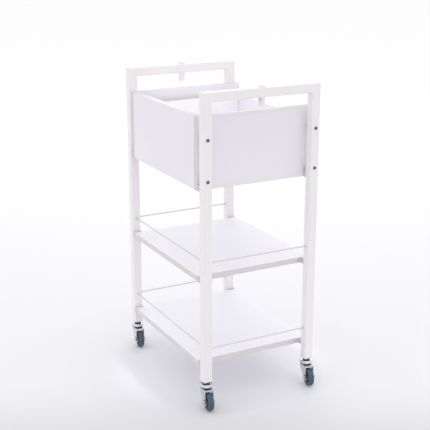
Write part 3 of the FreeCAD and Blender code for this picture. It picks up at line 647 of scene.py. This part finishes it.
class TROLLEY_OT_make_case_screws(bpy.types.Operator):
    """Make the dark domed socket screws that hold the case"""
    bl_idname = "trolley.make_case_screws"
    bl_label = "Case screws"

    def execute(self, context):
        low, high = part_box("case_screws")
        post_low, post_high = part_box("left_front_post")
        post_y = abs((post_low.y + post_high.y) / 2)
        head = abs(low.y) - post_y
        rise = post_low.x - low.x
        bm = bmesh.new()
        one = socket_screw_head(head, rise, SCREW_SHANK, SCREW_REACH, sizes().screw_socket)
        turns = random.Random(4)
        for end, way in ENDS.items():
            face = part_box(f"{end}_front_post")[0 if way < 0 else 1].x
            for across in (-post_y, post_y):
                for level in (low.z + head, high.z - head):
                    twist = turns.uniform(0, FULL_TURN)
                    merge(bm, one, facing((face, across, level), (way, 0, 0), twist))
        one.free()
        piece("case_screw_set", bm, ROOT, "bronze", ("case_screws",))
        return {"FINISHED"}


class TROLLEY_OT_make_blocks(bpy.types.Operator):
    """Roll over the edges of the spacers and finish the corner blocks"""
    bl_idname = "trolley.make_blocks"
    bl_label = "Blocks and spacers"

    def execute(self, context):
        softened_copy("case_spacer_set", "case_spacers", ROOT, "pale", 0.5 * MM)
        dress(["corner_blocks"], finish("pale"))
        return {"FINISHED"}


class TROLLEY_OT_make_shelf_caps(bpy.types.Operator):
    """Make the domed caps in the shelves' end faces"""
    bl_idname = "trolley.make_shelf_caps"
    bl_label = "Shelf caps"

    def execute(self, context):
        low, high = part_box("shelf_caps")
        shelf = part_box("middle_shelf")
        radius, proud = CAP_RADIUS, shelf[0].x - low.x
        one = lathe([(0.0, -CAP_DEPTH), (radius * 0.9, -CAP_DEPTH), (radius, -CAP_DEPTH + 0.8 * MM),
                     (radius, 0.0), (radius, proud * 0.35), (radius * 0.93, proud * 0.8),
                     (radius * 0.80, proud), (radius * 0.60, proud * 0.82), (0.0, proud * 0.78)], steps=40)
        bm = bmesh.new()
        for way, face in zip(ENDS.values(), shelf):
            for across in (low.y + radius, high.y - radius):
                for level in (low.z + radius, high.z - radius):
                    merge(bm, one, facing((face.x, across, level), (way, 0, 0)))
        one.free()
        piece("shelf_cap_set", bm, ROOT, "pale", ("shelf_caps",))
        return {"FINISHED"}


class TROLLEY_OT_make_grommets(bpy.types.Operator):
    """Make the collared grommets at the guard wires' ends"""
    bl_idname = "trolley.make_grommets"
    bl_label = "Guard grommets"

    def execute(self, context):
        wire_low, wire_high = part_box("rear_guards")
        wire = (wire_high.y - wire_low.y) / 2
        low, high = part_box("guard_grommets")
        collar = (high.z - low.z - (wire_high.z - wire_low.z)) / 2 + wire
        depth = GROMMET_DEPTH
        one = lathe([(wire, 0.0), (collar, 0.0), (collar, depth * 0.30), (collar * 0.93, depth * 0.42),
                     (collar * 0.76, depth * 0.50), (collar * 0.72, depth * 0.82), (collar * 0.64, depth),
                     (wire, depth)], steps=36, ring=True)
        bm = bmesh.new()
        for level in (wire_low.z + wire, wire_high.z - wire):
            for end, way in ENDS.items():
                post_low, post_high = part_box(f"{end}_rear_post")
                inner = post_low.x if way > 0 else post_high.x
                middle = (post_low + post_high) / 2
                merge(bm, one, facing((inner, middle.y, level), (-way, 0, 0)))
                for side, step in SIDES.items():
                    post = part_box(f"{end}_{side}_post")
                    face = post[0].y if step > 0 else post[1].y
                    merge(bm, one, facing((middle.x, face, level), (0, -step, 0)))
        one.free()
        piece("guard_grommet_set", bm, ROOT, "pale", ("guard_grommets",))
        return {"FINISHED"}


class TROLLEY_OT_make_lamp_sockets(bpy.types.Operator):
    """Turn the lamp sockets and their knurled lock screws"""
    bl_idname = "trolley.make_lamp_sockets"
    bl_label = "Lamp sockets"

    def execute(self, context):
        for end in ENDS:
            softened_copy(f"{end}_lamp_socket_tube", f"{end}_lamp_socket", ROOT, "coat",
                          0.7 * MM)
        self.make_lock_screws()
        return {"FINISHED"}

    def make_lock_screws(self):
        low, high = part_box("lock_screws")
        level, head, reach = (low.z + high.z) / 2, (high.z - low.z) / 2, LOCK_REACH
        axis = centre_of("left_lamp_socket")
        span_x, span_y = axis.x - low.x, high.y - axis.y
        # With the screw turned by a, one span is reach * cos(a) + head * sin(a) and the other has
        # cos and sin the other way round. The two together give the direction.
        outward = Vector((head * span_y - reach * span_x, reach * span_y - head * span_x, 0)).normalized()
        bm = bmesh.new()
        for end, way in ENDS.items():
            one = self.lock_screw(head)
            merge(bm, one, facing((centre_of(f"{end}_lamp_socket").x, 0, level), outward * -way))
            one.free()
        piece("lamp_lock_screw_set", bm, ROOT, "brass", ("lock_screws",))

    @staticmethod
    def lock_screw(head):
        """A thumb screw with ridges round its head, made along +Z at its distance from the bore's axis."""
        start, seat, end, thread = LOCK_START, LOCK_SEAT, LOCK_REACH, LOCK_THREAD
        steps = sizes().knurls * 2
        bm = lathe([(0.0, start), (thread - 0.3 * MM, start), (thread, start + 0.4 * MM), (thread, seat),
                    (head * 0.86, seat), (head * 0.94, seat + 0.4 * MM), (head * 0.94, end - 0.5 * MM),
                    (head * 0.84, end), (0.0, end)], steps=steps)
        for vert in bm.verts:
            if vert.co.xy.length > head * 0.9:
                turn = round(math.atan2(vert.co.y, vert.co.x) / (FULL_TURN / steps))
                vert.co.xy *= 1.06 if turn % 2 else 0.97
        return bm


# ---------------------------------------------------------------- casters

class TROLLEY_OT_make_wheels(bpy.types.Operator):
    """Make the tyres, ribbed hubs and dust caps of the four wheels"""
    bl_idname = "trolley.make_wheels"
    bl_label = "Wheels"

    def execute(self, context):
        for corner in CORNERS:
            self.make_tyre(corner)
            self.make_hub(corner)
            self.make_dust_caps(corner)
        return {"FINISHED"}

    @staticmethod
    def make_tyre(corner):
        """A tread with a fine parting groove round its middle and a groove in each side wall."""
        tread, seat = wheel_reach(corner, "tyre"), wheel_reach(corner, "hub")
        half = wheel_half(corner)
        side = [(seat, half), (seat + 1.2 * MM, half), (seat + 1.5 * MM, half - 0.3 * MM),
                (seat + 2.0 * MM, half - 0.3 * MM), (seat + 2.3 * MM, half), (tread, half)]
        middle = [(tread, -0.6 * MM), (tread - 0.15 * MM, -0.3 * MM),
                  (tread - 0.15 * MM, 0.3 * MM), (tread, 0.6 * MM)]
        bm = lathe([(radius, -level) for radius, level in side] + middle + side[::-1], steps=96, ring=True)
        soften(bm, sizes().tyre_shoulder, 8, lambda edge: all(
            vert.co.xy.length > tread - 0.01 * MM and abs(vert.co.z) > half * 0.9 for vert in edge.verts))
        piece(f"{corner}_tyre_rubber", bm, f"{corner}_wheel", "tyre", (f"{corner}_tyre",),
              axle_matrix(corner), 40.0)

    @staticmethod
    def make_hub(corner):
        """A rim and a boss joined by a web, with ribs on both sides."""
        seat, half = wheel_reach(corner, "hub"), wheel_half(corner)
        bore, boss, rim, web = HUB_BORE, HUB_BOSS, seat - HUB_WALL, HUB_HALF_WEB
        rib_thick, rib_overlap, rib_sunk = 1.6 * MM, 1.0 * MM, 1.2 * MM
        bm = lathe([(bore, -half), (boss, -half), (boss + 0.6 * MM, -web), (rim - 0.4 * MM, -web),
                    (rim, -half + 0.4 * MM), (rim + 0.5 * MM, -half), (seat, -half), (seat, half),
                    (rim + 0.5 * MM, half), (rim, half - 0.4 * MM), (rim - 0.4 * MM, web),
                    (boss + 0.6 * MM, web), (boss, half), (bore, half)], steps=64, ring=True)
        for way in (-1, 1):
            for index in range(sizes().hub_ribs):
                rib = bmesh.new()
                bmesh.ops.create_cube(rib, size=1.0)
                bmesh.ops.scale(rib, vec=(rim - boss + rib_overlap, rib_thick, half - web),
                                verts=rib.verts[:])
                soften(rib, 0.35 * MM, 2)
                out = Matrix.Translation(((rim + boss) / 2, 0, way * ((half + web) / 2 - rib_sunk)))
                merge(bm, rib, Matrix.Rotation(FULL_TURN * index / sizes().hub_ribs, 4, "Z") @ out)
                rib.free()
        piece(f"{corner}_hub_moulding", bm, f"{corner}_wheel", "hub", (f"{corner}_hub",),
              axle_matrix(corner), 30.0)

    @staticmethod
    def make_dust_caps(corner):
        """A dished pressing with a rolled rim on each side of the wheel."""
        hole, rim, half, proud = DUST_CAP_HOLE, DUST_CAP_RIM, wheel_half(corner), DUST_CAP_DEPTH
        one = lathe([(hole, 0.0), (rim, 0.0), (rim, proud * 0.45), (rim * 0.95, proud * 0.85),
                     (rim * 0.88, proud), (rim * 0.78, proud), (rim * 0.72, proud * 0.55),
                     (hole * 1.5, proud * 0.5), (hole * 1.3, proud * 0.95), (hole, proud)],
                    steps=56, ring=True)
        bm = bmesh.new()
        for way in (-1, 1):
            merge(bm, one, facing((0, 0, way * half), (0, 0, way)))
        one.free()
        piece(f"{corner}_dust_cap_pair", bm, f"{corner}_wheel", "cap",
              (f"{corner}_dust_caps",), axle_matrix(corner))


class TROLLEY_OT_make_forks(bpy.types.Operator):
    """Make the pressed forks and their axle bolts"""
    bl_idname = "trolley.make_forks"
    bl_label = "Forks and axles"

    def execute(self, context):
        for corner in CORNERS:
            body = f"{corner}_swivel"
            softened_copy(f"{corner}_fork_pressing", f"{corner}_caster_fork", body, "zinc",
                          0.6 * MM)
            self.make_axle(corner, body)
            self.make_shade_washers(corner, body)
        return {"FINISHED"}

    @staticmethod
    def make_axle(corner, body):
        """A hexagon-headed bolt through the fork with its nut, each turned a little differently."""
        flats, face, tall, shank = AXLE_FLATS, FORK_HALF_WIDTH, AXLE_HEAD, AXLE_SHANK
        chamfer, head_turn, nut_turn = 0.45 * MM, 0.35, 0.8
        end = face + tall + 0.5 * MM
        bm = lathe([(0.0, -face), (shank, -face), (shank, end - 0.4 * MM), (shank - 0.4 * MM, end),
                    (0.0, end)], steps=32)
        head = hexagon(flats, tall, chamfer)
        merge(bm, head, facing((0, 0, -face - tall), (0, 0, 1), head_turn))
        head.free()
        nut = hexagon(flats, tall, chamfer, hole=shank)
        merge(bm, nut, facing((0, 0, face), (0, 0, 1), nut_turn))
        nut.free()
        piece(f"{corner}_axle_bolt", bm, body, "zinc", (f"{corner}_axle",),
              axle_matrix(corner))

    @staticmethod
    def make_shade_washers(corner, body):
        """A thin dark washer under the bolt's head and one under its nut, put there to paint the shaded ring
        round each axle end.
        """
        hole, rim, thick = AXLE_SHANK, AXLE_FLATS * 0.70, 0.9 * MM
        washer = lathe([(hole, 0.0), (rim, 0.0), (rim, thick - 0.3 * MM), (rim - 0.4 * MM, thick),
                        (hole, thick)], steps=40, ring=True)
        bm = bmesh.new()
        for way in (-1, 1):
            merge(bm, washer, facing((0, 0, way * FORK_HALF_WIDTH), (0, 0, way)))
        washer.free()
        piece(f"{corner}_axle_washer_pair", bm, body, "dark_zinc",
              matrix=axle_matrix(corner))


class TROLLEY_OT_make_swivels(bpy.types.Operator):
    """Make the chromed swivel cups, stem nuts and seal rings"""
    bl_idname = "trolley.make_swivels"
    bl_label = "Swivels"

    def execute(self, context):
        for corner in CORNERS:
            self.make_cup(corner)
        self.make_nuts()
        self.make_seals()
        return {"FINISHED"}

    @staticmethod
    def make_cup(corner):
        """A grooved cup with the stem above it, a skirt over the seal and the riveted kingpin below."""
        low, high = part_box(f"{corner}_caster_head")
        cup = (high.x - low.x) / 2
        top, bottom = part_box("caster_nuts")[0].z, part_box("caster_seals")[1].z
        stem, pin, rivet = STEM, KINGPIN, RIVET
        tall = top - bottom
        under = low.z + RIVET_DEPTH
        skirt, skirt_wall, skirt_drop = 16.7 * MM, 0.8 * MM, 2.5 * MM
        bm = lathe([(0.0, high.z), (stem - MM, high.z), (stem, high.z - MM), (stem, top),
                    (cup * 0.56, top), (cup * 0.60, top - 0.3 * MM), (cup * 0.66, top - 0.3 * MM),
                    (cup * 0.72, top), (cup * 0.86, top - tall * 0.06), (cup * 0.94, top - tall * 0.18),
                    (cup * 0.965, top - tall * 0.34), (cup * 0.93, top - tall * 0.44),
                    (cup * 0.93, top - tall * 0.54), (cup * 0.975, top - tall * 0.62),
                    (cup, bottom + tall * 0.24), (cup, bottom + tall * 0.08), (cup * 0.985, bottom),
                    (skirt, bottom), (skirt, bottom - skirt_drop), (skirt - skirt_wall, bottom - skirt_drop),
                    (skirt - skirt_wall, bottom), (pin, bottom), (pin, under), (rivet, under),
                    (rivet * 0.93, low.z), (0.0, low.z)], steps=80)
        middle = swivel_point(corner)
        piece(f"{corner}_swivel_cup", bm, ROOT, "chrome", (f"{corner}_caster_head",),
              Matrix.Translation((middle.x, middle.y, 0)), 40.0)

    @staticmethod
    def make_nuts():
        low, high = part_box("caster_nuts")
        one = hexagon(STEM_NUT_FLATS, high.z - low.z, 0.9 * MM, hole=STEM_NUT_BORE)
        bm = bmesh.new()
        turns = random.Random(11)
        for corner in CORNERS:
            middle = swivel_point(corner)
            place = Matrix.Translation((middle.x, middle.y, low.z))
            merge(bm, one, place @ Matrix.Rotation(turns.uniform(0, 1.0), 4, "Z"))
        one.free()
        piece("stem_nut_set", bm, ROOT, "dark_zinc", ("caster_nuts",))

    @staticmethod
    def make_seals():
        # The black rings stand partly for shade: the dark band of the ball-race gap between cup and fork.
        low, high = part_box("caster_seals")
        outer, inner, tall = SEAL_OUTER, SEAL_INNER, high.z - low.z
        one = lathe([(inner, low.z), (outer * 0.94, low.z), (outer, low.z + tall * 0.08),
                     (outer, low.z + tall * 0.30), (outer * 0.965, low.z + tall * 0.38),
                     (outer * 0.965, low.z + tall * 0.52), (outer, low.z + tall * 0.60),
                     (outer, high.z), (inner, high.z)], steps=64, ring=True)
        bm = bmesh.new()
        for corner in CORNERS:
            middle = swivel_point(corner)
            merge(bm, one, Matrix.Translation((middle.x, middle.y, 0)))
        one.free()
        piece("caster_seal_set", bm, ROOT, "black", ("caster_seals",))


# ---------------------------------------------------------------- studio

class TROLLEY_OT_build_studio(bpy.types.Operator):
    """Lay the pale floor, set the soft lights and place the camera"""
    bl_idname = "trolley.build_studio"
    bl_label = "Studio"

    camera_place = Vector((-2.332, 1.249, 1.2745))
    camera_direction = Vector((0.8459, -0.4459, -0.2927))
    floor_radius = 45.0
    lamp_aim = Vector((0.0, 0.0, 0.3))
    box_size = 3.0
    snoot_height = 1.6

    def execute(self, context):
        self.lay_floor(context)
        self.light(context)
        self.place_camera(context)
        context.scene.view_settings.view_transform = "Standard"
        return {"FINISHED"}

    def lay_floor(self, context):
        """One flat sheet of paper whose colour is painted light: white far off, painted shade round the
        object and darker painted shade in front of it.
        """
        bm = bmesh.new()
        bmesh.ops.create_circle(bm, cap_ends=True, segments=96, radius=self.floor_radius)
        mesh = bpy.data.meshes.new("studio_floor")
        bm.to_mesh(mesh)
        bm.free()
        paper = Finish("floor_paper")
        studio = context.scene.studio_settings
        towards = self.camera_place.xy.normalized()
        nearer = paper.axis(0) * towards.x + paper.axis(1) * towards.y
        # Painted shade: the paper darkens from far off towards the object, and again towards the front.
        tone = paper.mix(paper.smooth(nearer, -5.0, 0.4), tuple(studio.floor), tuple(studio.floor_painted_shade))
        tone = paper.mix(paper.smooth(nearer, 0.10, 0.55), tone, tuple(studio.near_floor_painted_shade))
        paper.feed(Base_Color=tone, Roughness=0.62 + paper.noise(6.0, 3.0) * 0.08)
        mesh.materials.append(paper.material)
        floor = bpy.data.objects.new("studio_floor", mesh)
        context.scene.collection.objects.link(floor)

    def light(self, context):
        """A white sky, dimmer straight above and dark at the mirrored horizon, and three lamps."""
        studio = context.scene.studio_settings
        world = bpy.data.worlds.new("studio_sky")
        context.scene.world = world
        sky = Nodes(world, "Generated")
        path = sky.node("ShaderNodeLightPath")
        glossy, seen = Value(sky, path.outputs["Is Glossy Ray"]), Value(sky, path.outputs["Is Camera Ray"])
        rising = sky.smooth(sky.axis(2), 0.02, 0.42)
        mirrored = (rising * (1 - studio.horizon) + studio.horizon) * studio.gloss
        even = (1 - sky.smooth(sky.axis(2), 0.25, 0.85) * (1 - studio.zenith)) * studio.sky
        level = glossy * (mirrored - even) + even
        background = sky.tree.nodes["Background"]
        sky.set_input(background.inputs["Color"], (1.0, 1.0, 1.0))
        sky.set_input(background.inputs["Strength"], seen * (1 - level) + level)
        self.hang("top_box", "AREA", studio.top, (-0.6, -0.4, 6.0), self.lamp_aim).size = self.box_size
        self.hang("back_box", "AREA", studio.back, (3.0, -1.6, 2.4), self.lamp_aim).size = self.box_size
        self.hang_snoot(studio.snoot)

    def hang_snoot(self, energy):
        """A narrow lamp over the drawer that stays inside the two handle rails."""
        middle = centre_of("case_bottom_panel")
        place = (middle.x, middle.y, middle.z + self.snoot_height)
        lamp = self.hang("drawer_snoot", "SPOT", energy, place, middle)
        rail_low, rail_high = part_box("right_handle_rail")
        rail_gap, rail_drop = rail_low.x - middle.x, middle.z + self.snoot_height - rail_high.z
        lamp.spot_size, lamp.spot_blend = 2 * math.atan(rail_gap * 0.94 / rail_drop), 0.35
        lamp.shadow_soft_size = 0.05

    @staticmethod
    def hang(name, kind, power, place, aim):
        """A lamp at a place, turned towards a point, that the camera doesn't see."""
        lamp = bpy.data.lights.new(name, kind)
        lamp.energy = power
        item = bpy.data.objects.new(name, lamp)
        item.location = place
        item.rotation_euler = (Vector(aim) - item.location).to_track_quat("-Z", "Y").to_euler()
        item.visible_camera = False
        bpy.context.scene.collection.objects.link(item)
        return lamp

    def place_camera(self, context):
        data = bpy.data.cameras.new("view")
        data.lens, data.sensor_width = context.scene.studio_settings.lens, 36.0
        data.clip_end = 200.0
        item = bpy.data.objects.new("view", data)
        item.location = self.camera_place
        item.rotation_euler = self.camera_direction.to_track_quat("-Z", "Y").to_euler()
        context.scene.collection.objects.link(item)
        context.scene.camera = item


# ---------------------------------------------------------------- panel and registration

class TROLLEY_PT_panel(bpy.types.Panel):
    """List the trolley's colours, sizes, studio settings and making steps"""
    bl_idname = "TROLLEY_PT_panel"
    bl_label = "Salon trolley"
    bl_space_type = "VIEW_3D"
    bl_region_type = "UI"
    bl_category = "Trolley"

    def draw(self, context):
        scene = context.scene
        for group in (scene.trolley_colours, scene.trolley_sizes, scene.studio_settings):
            column = self.layout.column(align=True)
            for name in group.__annotations__:
                column.prop(group, name)
        for operator in OPERATORS:
            self.layout.operator(operator.bl_idname)


GROUPS = {
    "trolley_colours": TrolleyColours,
    "trolley_sizes": TrolleySizes,
    "studio_settings": StudioSettings,
}
OPERATORS = (
    TROLLEY_OT_coat_frame,
    TROLLEY_OT_finish_boards,
    TROLLEY_OT_finish_runners,
    TROLLEY_OT_make_case_screws,
    TROLLEY_OT_make_blocks,
    TROLLEY_OT_make_shelf_caps,
    TROLLEY_OT_make_grommets,
    TROLLEY_OT_make_lamp_sockets,
    TROLLEY_OT_make_wheels,
    TROLLEY_OT_make_forks,
    TROLLEY_OT_make_swivels,
    TROLLEY_OT_build_studio,
)
CLASSES = (*GROUPS.values(), *OPERATORS, TROLLEY_PT_panel)


def register():
    for item in CLASSES:
        bpy.utils.register_class(item)
    for name, group in GROUPS.items():
        setattr(bpy.types.Scene, name, PointerProperty(type=group))


def unregister():
    for name in GROUPS:
        delattr(bpy.types.Scene, name)
    for item in reversed(CLASSES):
        bpy.utils.unregister_class(item)


def main():
    register()
    for operator in OPERATORS:
        group, name = operator.bl_idname.split(".")
        getattr(getattr(bpy.ops, group), name)()


if __name__ == "__main__":
    main()
